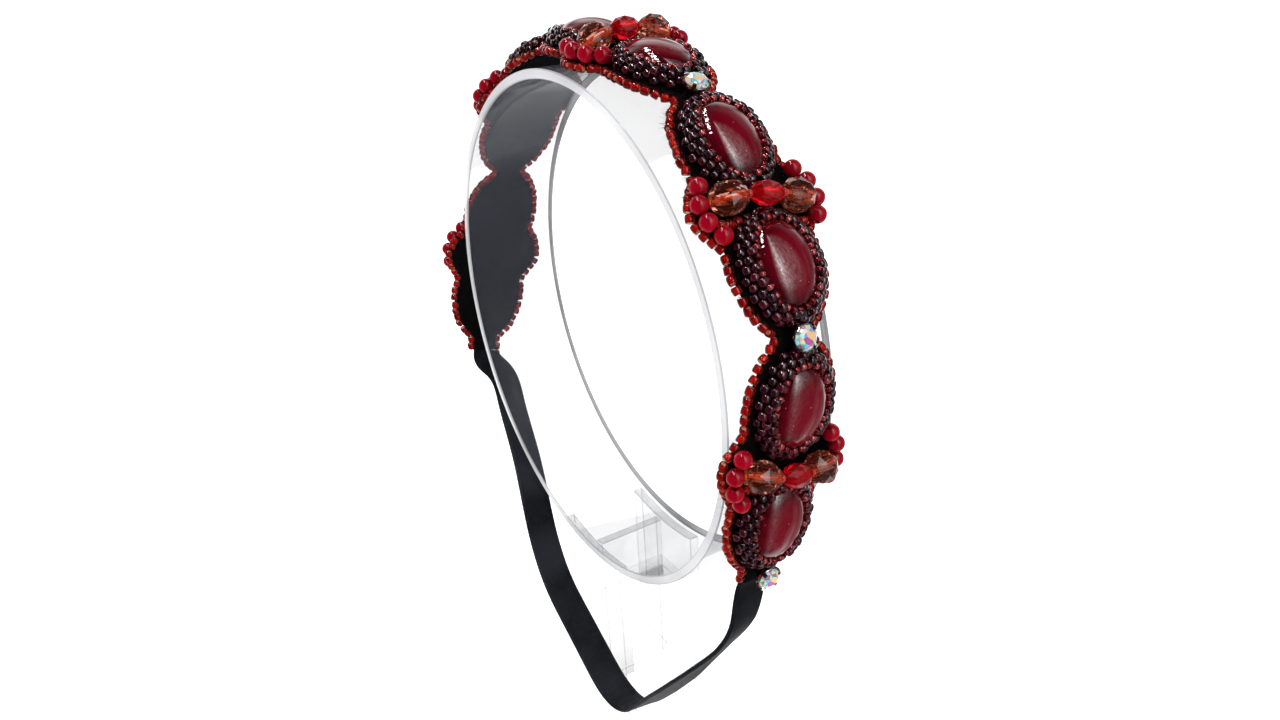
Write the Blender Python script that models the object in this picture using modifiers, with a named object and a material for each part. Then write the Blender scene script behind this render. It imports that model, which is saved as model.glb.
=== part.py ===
"""Beaded rhinestone headband resting on a clear acrylic ring stand.

Frame: metres, +Z up, origin on the underside of the base, under the ring's
centre. The ring's axis is Y, its near rim is at -Y and the crown of the
headband is at +Z. Dimensions below are in millimetres and degrees.
"""
import math

import bmesh
import bpy
import numpy as np
from mathutils import Matrix, Vector

MM = 0.001
GAP = 0.3

# Stand
RING_CENTRE_Z = 130.0
RING_OUTER_R = 70.0
RING_WALL = 2.5
RING_WIDTH = 30.0
RING_STEPS = 64
BASE_SIZE = (100.0, 80.0, 5.0)
BASE_EDGE = 0.6
PLATE_LEFT = -17.5
PLATE_RIGHT = 14.5
PLATE_WALL = 3.0
PLATE_INSET = 1.0
PLATE_TOP_STEPS = 10
CROSS_PLATE_X = -2.5

# Headband: equal modules, each with a bar of beads between two cabochons
MODULES = 5
END_TAB = 3.6
BACKING_WALL = 1.8
EDGING_WIDTH = 2.0
EDGING_WALL = 2.0
STEPS_PER_MODULE = 20

# Centre line of the backing, from the left end over the crown to the right
# end: angle about the ring's axis, radius, and offset along Y
BAND_STATIONS = (
    # angle, radius, side
    (200.7, 77.0, -12.0),
    (177.8, 72.6, -4.3),
    (154.8, 71.7, 0.7),
    (131.9, 72.7, 2.5),
    (108.9, 75.0, 2.3),
    (86.0, 71.6, 3.5),
    (63.1, 73.6, 3.2),
    (40.1, 71.7, 2.9),
    (17.2, 74.7, 1.2),
    (-5.8, 72.0, -2.3),
    (-28.7, 78.3, -6.0),
)

# Scalloped outline, edging included: an ellipse round each cabochon and one
# round each bar, given by distance from the bar, half length and half width
OUTLINE_LOBES = (
    # distance, half length, half width
    (-13.9, 17.2, 12.9),
    (0.0, 12.3, 16.8),
    (13.9, 17.2, 12.9),
)
OUTLINE_BLEND = 0.8
OUTLINE_SHIFTS = 13

# Oval glass cabochon
CABOCHON_OFFSET = 14.72
CABOCHON_HALF = (10.0, 7.5)
CABOCHON_GIRDLE = 1.4
CABOCHON_HEIGHT = 5.8
CABOCHON_RINGS = 4
OVAL_SIDES = 20

# Wall of seed beads round a cabochon, following its oval
BEZEL_SECTION = (
    # added to the cabochon's half axes, height over the backing's gap
    (3.2, 0.0),
    (1.3, 2.9),
    (-0.5, 3.5),
    (0.45, 2.3),
    (0.45, 0.0),
)

# Bar of beads: a red bead between two topaz beads, with an arc of coral beads
# round each end. The bar's axis runs across the band, and two bars lie askew
BAR_POSES = (
    # shift along the band, turn about the outward direction
    (0.0, 0.0),
    (0.0, 0.0),
    (0.0, 0.0),
    (0.5, -8.6),
    (0.3, -5.0),
)
FACET_SIDES = 8
FACET_PROFILE = (
    # share of the radius, share of the half length
    (0.0, 1.0),
    (0.42, 1.0),
    (0.84, 0.64),
    (1.0, 0.2),
    (1.0, -0.2),
    (0.84, -0.64),
    (0.42, -1.0),
    (0.0, -1.0),
)
RED_LENGTH = 7.4
RED_RADIUS = 2.9
RED_HEIGHT = 6.8
SPACER_RADIUS = 0.9
SPACER_LENGTH = 0.75
TOPAZ_LENGTH = 8.0
TOPAZ_RADIUS = 4.0
TOPAZ_HEIGHT = 5.3
TOPAZ_SIDE = 8.55
TOPAZ_TILT = 20.0
CORAL_RADIUS = 2.15
CORAL_SIDES = 10
CORAL_ROWS = 5
CORAL_THREAD = 0.6
THREAD_SIDES = 6
CORAL_ARC = (
    # along the band, across the band, at the near end of a bar
    (-3.9, -13.6),
    (0.3, -14.6),
    (4.4, -13.6),
    (7.5, -10.9),
)

# Rhinestone in a tapered cup with claws, heights over the backing's gap
STONE_PROFILE = ((0.0, 4.6), (1.6, 4.6), (2.3, 4.15), (2.85, 3.5), (2.85, 3.0), (0.0, 3.0))
CUP_PROFILE = ((0.0, 3.4), (3.15, 3.4), (3.1, 2.8), (1.8, 0.9), (1.3, 0.0), (0.0, 0.0))
CUP_SIDES = 12
CLAW_SIZE = (0.9, 0.8, 1.5)
CLAW_RADIUS = 2.8
CLAW_HEIGHT = 3.3
CLAW_COUNT = 4

# Elastic strap, sewn under the tabs, from the left end under the ring and in
# front of the pedestal to the right end
STRAP_WIDTH = 9.3
STRAP_WALL = 1.2
STRAP_STEPS = 64
STRAP_GAP = 0.6
STRAP_SHIFT = 1.0
STRAP_LEAD = 2.0
STRAP_ROUTE = (
    # x, y, height over the ring's centre, roll
    (-66.4, -10.6, -37.0, 0),
    (-58.9, -10.4, -45.8, 0),
    (-46.9, -12.6, -59.3, 0),
    (-33.4, -16.6, -69.5, 0),
    (-22.4, -19.6, -79.0, 0),
    (-12.3, -21.1, -86.7, 0),
    (1.6, -22.2, -92.4, 0),
    (14.2, -22.7, -98.2, 0),
    (23.2, -22.7, -102.0, 0),
    (31.3, -22.4, -101.6, -4),
    (39.9, -21.9, -94.6, -8),
    (47.4, -21.1, -85.6, -10),
    (54.9, -19.3, -76.1, -6),
    (60.9, -17.1, -67.6, 4),
    (65.3, -14.0, -60.6, 12),
    (68.2, -10.3, -52.5, 12),
)

COLOURS = {
    # colour, roughness, metallic, transmission
    "acrylic": ((0.90, 0.93, 0.95), 0.05, 0.0, 0.9),
    "felt": ((0.012, 0.011, 0.012), 0.95, 0.0, 0.0),
    "ribbon": ((0.016, 0.015, 0.018), 0.55, 0.0, 0.0),
    "crimson_glass": ((0.20, 0.004, 0.018), 0.06, 0.0, 0.3),
    "garnet_seeds": ((0.045, 0.004, 0.008), 0.15, 0.4, 0.0),
    "orange_seeds": ((0.45, 0.03, 0.015), 0.15, 0.3, 0.0),
    "coral": ((0.42, 0.008, 0.03), 0.15, 0.0, 0.0),
    "topaz_glass": ((0.30, 0.12, 0.06), 0.05, 0.0, 0.6),
    "red_glass": ((0.55, 0.01, 0.02), 0.05, 0.0, 0.5),
    "crystal": ((0.85, 0.87, 0.88), 0.05, 0.3, 0.3),
}


def clear_scene():
    for obj in list(bpy.data.objects):
        bpy.data.objects.remove(obj, do_unlink=True)


def make_collection(name):
    collection = bpy.data.collections.new(name)
    bpy.context.scene.collection.children.link(collection)
    return collection


def make_material(name):
    colour, roughness, metallic, transmission = COLOURS[name]
    material = bpy.data.materials.new(name)
    material.use_nodes = True
    shader = material.node_tree.nodes["Principled BSDF"]
    shader.inputs["Base Color"].default_value = (*colour, 1.0)
    shader.inputs["Roughness"].default_value = roughness
    shader.inputs["Metallic"].default_value = metallic
    shader.inputs["Transmission Weight"].default_value = transmission
    return material


def add_object(name, data, collection, material, matrix=None):
    obj = bpy.data.objects.new(name, data)
    collection.objects.link(obj)
    if matrix is not None:
        obj.matrix_world = matrix
    if not data.materials:
        data.materials.append(bpy.data.materials.get(material) or make_material(material))
    return obj


def shift(x, y, z):
    return Matrix.Translation(Vector((x, y, z)) * MM)


def natural_spline(knots, values):
    """Cubic curve through the values, with no bend at its two ends."""
    x = np.asarray(knots, float)
    y = np.asarray(values, float)
    h = np.diff(x)
    count = len(x)
    system = np.eye(count)
    right = np.zeros(count)
    for i in range(1, count - 1):
        system[i, i - 1:i + 2] = h[i - 1], 2 * (h[i - 1] + h[i]), h[i]
        right[i] = 6 * ((y[i + 1] - y[i]) / h[i] - (y[i] - y[i - 1]) / h[i - 1])
    bend = np.linalg.solve(system, right)

    def value(at):
        at = np.asarray(at, float)
        i = np.clip(np.searchsorted(x, at) - 1, 0, count - 2)
        a = (x[i + 1] - at) / h[i]
        b = (at - x[i]) / h[i]
        curve = (a ** 3 - a) * bend[i] + (b ** 3 - b) * bend[i + 1]
        return a * y[i] + b * y[i + 1] + curve * h[i] ** 2 / 6

    return value


def lengths_along(points):
    steps = np.linalg.norm(np.diff(points, axis=0), axis=1)
    return np.concatenate([[0.0], np.cumsum(steps)])


class Band:
    """Places points by distance along, across and above the backing."""

    LEAD = 6.0
    SAMPLES = 1200

    def __init__(self):
        angles, radii, sides = np.array(BAND_STATIONS).T
        travel = angles[0] - angles
        sweep = np.linspace(-self.LEAD, travel[-1] + self.LEAD, self.SAMPLES + 1)
        turn = np.radians(angles[0] - sweep)
        radius = natural_spline(travel, radii)(sweep)
        side = natural_spline(travel, sides)(sweep)
        height = RING_CENTRE_Z + radius * np.sin(turn)
        self.points = np.stack([radius * np.cos(turn), side, height], 1)
        self.lengths = lengths_along(self.points)
        self.first = float(np.interp(0.0, sweep, self.lengths))
        self.last = float(np.interp(travel[-1], sweep, self.lengths))
        self.module = (self.last - self.first) / MODULES

    def bar(self, number):
        return self.first + (number + 0.5) * self.module

    def bar_matrix(self, number):
        """Frame of a bar of beads, as it was sewn on."""
        along, turn = BAR_POSES[number]
        return self.matrix(self.bar(number) + along) @ Matrix.Rotation(math.radians(turn), 4, "Z")

    def neck(self, number):
        return self.first + number * self.module

    def cabochon(self, number):
        """Centre of one of the cabochons, two to a module."""
        side = -1 if number % 2 == 0 else 1
        return self.bar(number // 2) + side * CABOCHON_OFFSET

    def at(self, s):
        return Vector([float(np.interp(s, self.lengths, axis)) for axis in self.points.T])

    def directions(self, s):
        """Directions along the band, across it to the far side, and outward."""
        along = (self.at(s + 0.5) - self.at(s - 0.5)).normalized()
        outward = along.cross(Vector((0.0, 1.0, 0.0))).normalized()
        return along, outward.cross(along), outward

    def place(self, s, across, above):
        """World point; above is measured from the middle of the backing."""
        _, sideways, outward = self.directions(s)
        return (self.at(s) + sideways * across + outward * above) * MM

    def matrix(self, s, above=0.0):
        """Frame whose X runs along the band, Y across it and Z outward."""
        turn = Matrix(self.directions(s)).transposed()
        return Matrix.Translation(self.place(s, 0.0, above)) @ turn.to_4x4()

    def outline(self, s):
        """Half the width at s, where the lobes run smoothly into each other."""
        s = min(max(s, self.first), self.last)
        local = (s - self.first) % self.module - self.module / 2
        total = 0.0
        for offset in (-self.module, 0.0, self.module):
            for centre, length, width in OUTLINE_LOBES:
                inside = 1 - ((local - centre - offset) / length) ** 2
                if inside > 0:
                    total += math.exp(width * math.sqrt(inside) / OUTLINE_BLEND)
        return OUTLINE_BLEND * math.log(total)

    def half_width(self, s, inset):
        """Half the width of the outline drawn in evenly by inset."""
        shifts = np.linspace(-inset, inset, OUTLINE_SHIFTS)
        return min(self.outline(s + d) - math.sqrt(inset ** 2 - d ** 2) for d in shifts)

    def stations(self):
        count = MODULES * STEPS_PER_MODULE
        body = [self.first + self.module * k / STEPS_PER_MODULE for k in range(count + 1)]
        return [self.first - END_TAB, *body, self.last + END_TAB]


def add_sheet(name, rows, wall, collection, material):
    """A sheet of even thickness, centred on rows of points."""
    bm = bmesh.new()
    grid = [[bm.verts.new(point) for point in row] for row in rows]
    for left, right in zip(grid, grid[1:]):
        for k in range(len(left) - 1):
            bm.faces.new((left[k], left[k + 1], right[k + 1], right[k]))
    mesh = bpy.data.meshes.new(name)
    bm.to_mesh(mesh)
    bm.free()
    mesh.shade_smooth()
    obj = add_object(name, mesh, collection, material)
    solidify = obj.modifiers.new("Thickness", "SOLIDIFY")
    solidify.thickness = wall * MM
    solidify.offset = 0.0
    return obj


def add_backing(band, collection):
    rows = []
    for s in band.stations():
        half = band.half_width(s, EDGING_WIDTH)
        rows.append([band.place(s, across, 0.0) for across in (-half, half)])
    add_sheet("backing", rows, BACKING_WALL, collection, "felt")


def add_edging(band, collection):
    """The strings of seed beads sewn along the near and the far outline."""
    for name, side in (("edging_near", -1), ("edging_far", 1)):
        rows = []
        for s in band.stations():
            inner = band.half_width(s, EDGING_WIDTH) + GAP
            rows.append([band.place(s, side * half, 0.0) for half in (inner, band.outline(s))])
        add_sheet(name, rows, EDGING_WALL, collection, "orange_seeds")


def turned_mesh(name, profile):
    """Outer half of a turned shape, from its top to its bottom."""
    bm = bmesh.new()
    points = [bm.verts.new(Vector((radius, 0, height)) * MM) for radius, height in profile]
    for upper, lower in zip(points, points[1:]):
        bm.edges.new((upper, lower))
    mesh = bpy.data.meshes.new(name)
    bm.to_mesh(mesh)
    bm.free()
    return mesh


def turn_profile(obj, sides, smooth):
    screw = obj.modifiers.new("Turn", "SCREW")
    screw.steps = sides
    screw.render_steps = sides
    screw.use_merge_vertices = True
    screw.merge_threshold = 0.00001
    screw.use_smooth_shade = smooth


def fused_mesh(name, pieces, guides):
    """One mesh from objects that overlap, which it takes apart afterwards."""
    for piece in pieces:
        guides.objects.link(piece)
        piece.hide_render = True
        piece.display_type = "WIRE"
    for piece in pieces[1:]:
        union = pieces[0].modifiers.new("Union", "BOOLEAN")
        union.operation = "UNION"
        union.object = piece
    bpy.context.view_layer.update()
    whole = pieces[0].evaluated_get(bpy.context.evaluated_depsgraph_get())
    mesh = bpy.data.meshes.new_from_object(whole)
    mesh.name = name
    mesh.transform(pieces[0].matrix_world)
    for piece in pieces:
        bpy.data.objects.remove(piece, do_unlink=True)
    return mesh


def cabochon_profile():
    """Domed top, upright girdle and flat base."""
    rise = CABOCHON_HEIGHT - CABOCHON_GIRDLE
    profile = []
    for k in range(CABOCHON_RINGS + 1):
        turn = math.pi / 2 * k / CABOCHON_RINGS
        profile.append((CABOCHON_HALF[0] * math.sin(turn), CABOCHON_GIRDLE + rise * math.cos(turn)))
    return [*profile, (CABOCHON_HALF[0], 0.0), (0.0, 0.0)]


def add_cabochons(band, collection):
    mesh = turned_mesh("cabochon", cabochon_profile())
    oval = Matrix.Diagonal((1.0, CABOCHON_HALF[1] / CABOCHON_HALF[0], 1.0, 1.0))
    for number in range(2 * MODULES):
        frame = band.matrix(band.cabochon(number), BACKING_WALL / 2 + GAP)
        name = f"cabochon_{number + 1:02d}"
        obj = add_object(name, mesh, collection, "crimson_glass", frame @ oval)
        turn_profile(obj, OVAL_SIDES, True)


def add_bezel(band, number, collection):
    """Sweeps the bezel's section round the oval, on the curved backing."""
    bm = bmesh.new()
    centre = band.cabochon(number)
    rings = []
    for added, height in BEZEL_SECTION:
        ring = []
        for k in range(OVAL_SIDES):
            turn = math.tau * k / OVAL_SIDES
            s = centre + (CABOCHON_HALF[0] + added) * math.cos(turn)
            across = (CABOCHON_HALF[1] + added) * math.sin(turn)
            ring.append(bm.verts.new(band.place(s, across, BACKING_WALL / 2 + GAP + height)))
        rings.append(ring)
    for low, high in zip(rings, rings[1:] + rings[:1]):
        for k in range(OVAL_SIDES):
            after = (k + 1) % OVAL_SIDES
            bm.faces.new((low[k], low[after], high[after], high[k]))
    name = f"bezel_{number + 1:02d}"
    mesh = bpy.data.meshes.new(name)
    bmesh.ops.recalc_face_normals(bm, faces=bm.faces)
    bm.to_mesh(mesh)
    bm.free()
    add_object(name, mesh, collection, "garnet_seeds")


def faceted_profile(length, radius):
    return [(radius * share, length / 2 * reach) for share, reach in FACET_PROFILE]


def red_bead_profile():
    """A faceted bead between its two small spacer beads."""
    end = RED_LENGTH / 2
    spacer = [(0.0, end + SPACER_LENGTH), (SPACER_RADIUS, end + SPACER_LENGTH), (SPACER_RADIUS, end)]
    below = [(radius, -height) for radius, height in reversed(spacer)]
    return [*spacer, *faceted_profile(RED_LENGTH, RED_RADIUS)[1:-1], *below]


def add_bar_beads(band, collection):
    """The red bead in the middle of each bar and the topaz beads beside it."""
    red = turned_mesh("red_bead", red_bead_profile())
    topaz = turned_mesh("topaz_bead", faceted_profile(TOPAZ_LENGTH, TOPAZ_RADIUS))
    flat = Matrix.Rotation(math.pi / 2, 4, "X")
    half_facet = Matrix.Rotation(math.pi / FACET_SIDES, 4, "Z")
    for number in range(MODULES):
        frame = band.bar_matrix(number)
        seat = frame @ shift(0, 0, RED_HEIGHT) @ flat @ half_facet
        obj = add_object(f"red_bead_{number + 1}", red, collection, "red_glass", seat)
        turn_profile(obj, FACET_SIDES, False)
        for side, word in ((-1, "near"), (1, "far")):
            tilt = Matrix.Rotation(math.radians(-side * TOPAZ_TILT), 4, "X")
            seat = frame @ shift(0, side * TOPAZ_SIDE, TOPAZ_HEIGHT) @ tilt @ flat @ half_facet
            name = f"topaz_bead_{number + 1}_{word}"
            obj = add_object(name, topaz, collection, "topaz_glass", seat)
            turn_profile(obj, FACET_SIDES, False)


def coral_arc_mesh(guides):
    """Round beads on one thread, at the near end of a bar."""
    height = BACKING_WALL / 2 + GAP + CORAL_RADIUS
    centres = [Vector((x, y, height)) * MM for x, y in CORAL_ARC]
    pieces = []
    for centre in centres:
        bm = bmesh.new()
        bmesh.ops.create_uvsphere(bm, u_segments=CORAL_SIDES, v_segments=CORAL_ROWS, radius=CORAL_RADIUS * MM)
        mesh = bpy.data.meshes.new("bead")
        bm.to_mesh(mesh)
        bm.free()
        mesh.shade_smooth()
        bead = bpy.data.objects.new("bead", mesh)
        bead.matrix_world = Matrix.Translation(centre)
        pieces.append(bead)
    for left, right in zip(centres, centres[1:]):
        bm = bmesh.new()
        radius = CORAL_THREAD * MM
        bmesh.ops.create_cone(
            bm, cap_ends=True, segments=THREAD_SIDES, radius1=radius, radius2=radius, depth=(right - left).length
        )
        mesh = bpy.data.meshes.new("thread")
        bm.to_mesh(mesh)
        bm.free()
        thread = bpy.data.objects.new("thread", mesh)
        turn = (right - left).to_track_quat("Z", "Y").to_matrix().to_4x4()
        thread.matrix_world = Matrix.Translation((left + right) / 2) @ turn
        pieces.append(thread)
    return fused_mesh("coral_arc", pieces, guides)


def add_coral_arcs(band, collection, guides):
    mesh = coral_arc_mesh(guides)
    half_turn = Matrix.Rotation(math.pi, 4, "Z")
    for number in range(MODULES):
        frame = band.bar_matrix(number)
        name = f"coral_arc_{number + 1}"
        add_object(f"{name}_near", mesh, collection, "coral", frame)
        add_object(f"{name}_far", mesh, collection, "coral", frame @ half_turn)


def rhinestone_mesh(guides):
    """A stone with table and crown facets, fused in its claw cup."""
    cup = bpy.data.objects.new("cup", turned_mesh("cup", CUP_PROFILE))
    turn_profile(cup, CUP_SIDES, False)
    stone = bpy.data.objects.new("stone", turned_mesh("stone", STONE_PROFILE))
    turn_profile(stone, FACET_SIDES, False)
    pieces = [cup, stone]
    for k in range(CLAW_COUNT):
        bm = bmesh.new()
        bmesh.ops.create_cube(bm, size=1.0)
        bmesh.ops.scale(bm, verts=bm.verts, vec=Vector(CLAW_SIZE) * MM)
        mesh = bpy.data.meshes.new("claw")
        bm.to_mesh(mesh)
        bm.free()
        claw = bpy.data.objects.new("claw", mesh)
        turn = Matrix.Rotation(math.tau * (k + 0.5) / CLAW_COUNT, 4, "Z")
        claw.matrix_world = turn @ shift(CLAW_RADIUS, 0, CLAW_HEIGHT)
        pieces.append(claw)
    return fused_mesh("rhinestone", pieces, guides)


def add_rhinestones(band, collection, guides):
    mesh = rhinestone_mesh(guides)
    for number in range(MODULES + 1):
        frame = band.matrix(band.neck(number), BACKING_WALL / 2 + GAP)
        add_object(f"rhinestone_{number + 1}", mesh, collection, "crystal", frame)


def strap_centres(band):
    """Points along the elastic, from the left tab round to the right tab."""
    start = band.first - END_TAB - STRAP_GAP
    end = band.last + END_TAB + STRAP_GAP
    along, across, outward = band.directions(start)
    left = band.at(start) + across * STRAP_SHIFT - outward * (BACKING_WALL - STRAP_WALL) / 2
    left_lead = left - along * STRAP_LEAD
    right = band.at(end)
    right_lead = right + band.directions(end)[0] * STRAP_LEAD
    middle = [(x, y, RING_CENTRE_Z + z) for x, y, z, _ in STRAP_ROUTE]
    knots = np.array([tuple(left), tuple(left_lead), *middle, tuple(right_lead), tuple(right)])
    travel = lengths_along(knots)
    sweep = np.linspace(0.0, travel[-1], STRAP_STEPS + 1)
    centres = np.stack([natural_spline(travel, axis)(sweep) for axis in knots.T], 1)
    rolls = np.interp(sweep, travel, [0.0, 0.0, *[row[3] for row in STRAP_ROUTE], 0.0, 0.0])
    return centres, rolls


def add_strap(band, collection):
    centres, rolls = strap_centres(band)
    rows = []
    for centre, step, roll in zip(centres, np.gradient(centres, axis=0), rolls):
        along = Vector(step).normalized()
        across = Vector((0.0, 1.0, 0.0))
        across = (across - along * across.dot(along)).normalized()
        across = Matrix.Rotation(math.radians(roll), 3, along) @ across
        edges = (-STRAP_WIDTH / 2, STRAP_WIDTH / 2)
        rows.append([(Vector(centre) + across * edge) * MM for edge in edges])
    add_sheet("elastic_strap", rows, STRAP_WALL, collection, "ribbon")


def add_stand_ring(collection):
    """Acrylic strip bent to a full circle about the Y axis."""
    inner = RING_OUTER_R - RING_WALL
    half = RING_WIDTH / 2
    corners = ((inner, half), (RING_OUTER_R, half), (RING_OUTER_R, -half), (inner, -half), (inner, half))
    mesh = turned_mesh("stand_ring", corners)
    bm = bmesh.new()
    bm.from_mesh(mesh)
    bmesh.ops.remove_doubles(bm, verts=bm.verts, dist=0.00001)
    bm.to_mesh(mesh)
    bm.free()
    lay = Matrix.Rotation(math.pi / 2, 4, "X")
    ring = add_object("stand_ring", mesh, collection, "acrylic", shift(0, 0, RING_CENTRE_Z) @ lay)
    turn_profile(ring, RING_STEPS, False)


def add_pedestal_plates(collection):
    """Two upright plates, their tops cut to the curve of the ring."""
    reach = RING_OUTER_R + GAP
    foot = BASE_SIZE[2] + GAP
    outline = [(PLATE_LEFT, foot), (PLATE_RIGHT, foot)]
    for k in range(PLATE_TOP_STEPS + 1):
        x = PLATE_RIGHT + (PLATE_LEFT - PLATE_RIGHT) * k / PLATE_TOP_STEPS
        outline.append((x, RING_CENTRE_Z - math.sqrt(reach ** 2 - x ** 2)))
    inset = RING_WIDTH / 2 - PLATE_INSET - PLATE_WALL / 2
    for name, y in (("stand_plate_near", -inset), ("stand_plate_far", inset)):
        curve = bpy.data.curves.new(name, "CURVE")
        curve.dimensions = "2D"
        curve.fill_mode = "BOTH"
        curve.extrude = PLATE_WALL / 2 * MM
        spline = curve.splines.new("POLY")
        spline.points.add(len(outline) - 1)
        for point, (x, z) in zip(spline.points, outline):
            point.co = (x * MM, z * MM, 0.0, 1.0)
        spline.use_cyclic_u = True
        upright = Matrix.Rotation(math.pi / 2, 4, "X")
        add_object(name, curve, collection, "acrylic", shift(0, y, 0) @ upright)


def add_box(name, size, centre, collection):
    bpy.ops.mesh.primitive_cube_add(size=1.0, location=Vector(centre) * MM)
    box = bpy.context.active_object
    box.name = name
    for owner in list(box.users_collection):
        owner.objects.unlink(box)
    collection.objects.link(box)
    box.data.materials.append(bpy.data.materials["acrylic"])
    box.data.transform(Matrix.Diagonal((*(Vector(size) * MM), 1.0)))
    return box


def add_stand_boxes(collection):
    """The base, and the plate that ties the two upright plates together."""
    base_top = BASE_SIZE[2]
    base = add_box("stand_base", BASE_SIZE, (0, 0, base_top / 2), collection)
    edges = base.modifiers.new("Edges", "BEVEL")
    edges.width = BASE_EDGE * MM
    edges.segments = 1
    depth = RING_WIDTH - 2 * (PLATE_INSET + PLATE_WALL + GAP)
    foot = base_top + GAP
    top = RING_CENTRE_Z - RING_OUTER_R - GAP
    size = (PLATE_WALL, depth, top - foot)
    add_box("stand_cross_plate", size, (CROSS_PLATE_X, 0, (top + foot) / 2), collection)


def main():
    clear_scene()
    collection = make_collection("Rhinestone headband on ring stand")
    guides = make_collection("Guides")
    band = Band()
    add_backing(band, collection)
    add_edging(band, collection)
    add_cabochons(band, collection)
    for number in range(2 * MODULES):
        add_bezel(band, number, collection)
    add_bar_beads(band, collection)
    add_coral_arcs(band, collection, guides)
    add_rhinestones(band, collection, guides)
    add_strap(band, collection)
    add_stand_ring(collection)
    add_pedestal_plates(collection)
    add_stand_boxes(collection)


main()
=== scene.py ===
import math

import bmesh
import bpy
import numpy as np
from mathutils import Matrix, Vector


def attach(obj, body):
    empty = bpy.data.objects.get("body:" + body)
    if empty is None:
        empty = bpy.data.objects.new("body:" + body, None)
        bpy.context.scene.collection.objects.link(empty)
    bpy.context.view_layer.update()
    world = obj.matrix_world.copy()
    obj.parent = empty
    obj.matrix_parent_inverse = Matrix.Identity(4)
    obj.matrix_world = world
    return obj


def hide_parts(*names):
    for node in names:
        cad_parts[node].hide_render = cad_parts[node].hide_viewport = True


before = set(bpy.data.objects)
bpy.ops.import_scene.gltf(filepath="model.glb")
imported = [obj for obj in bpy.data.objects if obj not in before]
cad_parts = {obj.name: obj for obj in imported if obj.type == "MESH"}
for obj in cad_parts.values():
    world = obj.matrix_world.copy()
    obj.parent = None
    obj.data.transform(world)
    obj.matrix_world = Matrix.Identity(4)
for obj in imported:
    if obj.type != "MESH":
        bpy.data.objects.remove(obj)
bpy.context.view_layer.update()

# Lengths are in millimetres, and are turned to metres where a mesh is made
MM = 0.001
SEED = 11
RNG = np.random.default_rng(SEED)

# Stand
RING_CENTRE_Z = 130.0
RING_OUTER_R = 70.0
RING_WALL = 2.5
RING_WIDTH = 30.0
RING_STEPS = 256
RING_EDGE = 0.35
RING_LINE = 0.3
BASE_SIZE = (100.0, 80.0, 5.0)
PLATE_LEFT = -17.5
PLATE_RIGHT = 14.5
PLATE_WALL = 3.0
PLATE_INSET = 1.0
PLATE_TOP_STEPS = 40
PLATE_EDGE = 0.3
FROST_DEPTH = 0.12
CROSS_PLATE_X = -2.5
GAP = 0.3

# Headband
SIDES = (("near", -1), ("far", 1))
CORNERS = ((-1, -1), (1, -1), (1, 1), (-1, 1))
MODULES = 5
END_TAB = 3.6
BACKING_WALL = 1.8
SEAT = BACKING_WALL / 2 + GAP
EDGING_WIDTH = 2.0
FELT_UNDER_EDGING = 0.15
FELT_NAP = 0.05
FUZZ_TUFTS = 110
FUZZ_FIBRES = 1100
FUZZ_REACH = (0.6, 2.4)
FUZZ_WIDTH = 0.07
BAND_STATIONS = (
    # angle, radius, side
    (200.7, 77.0, -12.0),
    (177.8, 72.6, -4.3),
    (154.8, 71.7, 0.7),
    (131.9, 72.7, 2.5),
    (108.9, 75.0, 2.3),
    (86.0, 71.6, 3.5),
    (63.1, 73.6, 3.2),
    (40.1, 71.7, 2.9),
    (17.2, 74.7, 1.2),
    (-5.8, 72.0, -2.3),
    (-28.7, 78.3, -6.0),
)
OUTLINE_LOBES = (
    # distance from the bar, half length, half width
    (-13.9, 17.2, 12.9),
    (0.0, 12.3, 16.8),
    (13.9, 17.2, 12.9),
)
OUTLINE_BLEND = 0.8
CABOCHON_OFFSET = 14.72
CABOCHON_HALF = (10.0, 7.5)
CABOCHON_GIRDLE = 1.4
CABOCHON_HEIGHT = 5.8

# Beads: outer radius, hole radius, length
GARNET_BEAD = (1.05, 0.42, 1.75)
ROSE_BEAD = (0.76, 0.28, 1.2)
EDGING_BEAD = (1.1, 0.55, 1.95)
SPACER_BEAD = (0.95, 0.3, 1.0)
SEED_SQUARE = 0.8
EDGING_PITCH = 2.35
EDGING_CORE = (
    # share of the length, share of the hole
    (-0.46, 0.2),
    (-0.46, 0.96),
    (0.46, 0.96),
    (0.46, 0.2),
)
BEZEL_COUNT = 18
BEZEL_ROWS = (
    # added to the cabochon's half axes, height over the seat
    (2.4, 0.65),
    (1.95, 1.65),
    (1.3, 2.5),
    (0.5, 3.05),
)
RIM_COUNT = 31
OVAL_STEP = 0.01
BEZEL_RIM = (-0.3, 3.3)
BAR_POSES = (
    # shift along the band, turn about the outward direction
    (0.0, 0.0),
    (0.0, 0.0),
    (0.0, 0.0),
    (0.5, -8.6),
    (0.3, -5.0),
)

CUT_BELTS = (
    # share of half the length, share of the radius, twist
    (-1.0, 0.46, 0.0),
    (-0.56, 0.86, 0.5),
    (0.0, 1.0, 0.0),
    (0.56, 0.86, 0.5),
    (1.0, 0.46, 0.0),
)
RED_LENGTH = 7.4
RED_RADIUS = 2.9
RED_HEIGHT = 6.8
TOPAZ_LENGTH = 8.0
TOPAZ_RADIUS = 4.0
TOPAZ_HEIGHT = 5.3
TOPAZ_SIDE = 8.55
TOPAZ_TILT = 20.0
BORE_RADIUS = 0.8
CORE_SWELL = 0.012
SPACER_SHIFT = 0.55
SPACER_DROP = 0.05
CORAL_RADIUS = 2.1
CORAL_HOLE = 0.45
CORAL_ARC = (
    # along the band, across the band, at the near end of a bar
    (-3.9, -13.6),
    (0.3, -14.6),
    (4.4, -13.6),
    (7.5, -10.9),
)
BAR_SEEDS = (
    # along the band, across the band, below the near topaz of a bar
    (4.2, 6.2),
    (4.7, 8.2),
    (4.7, 10.2),
)

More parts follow.
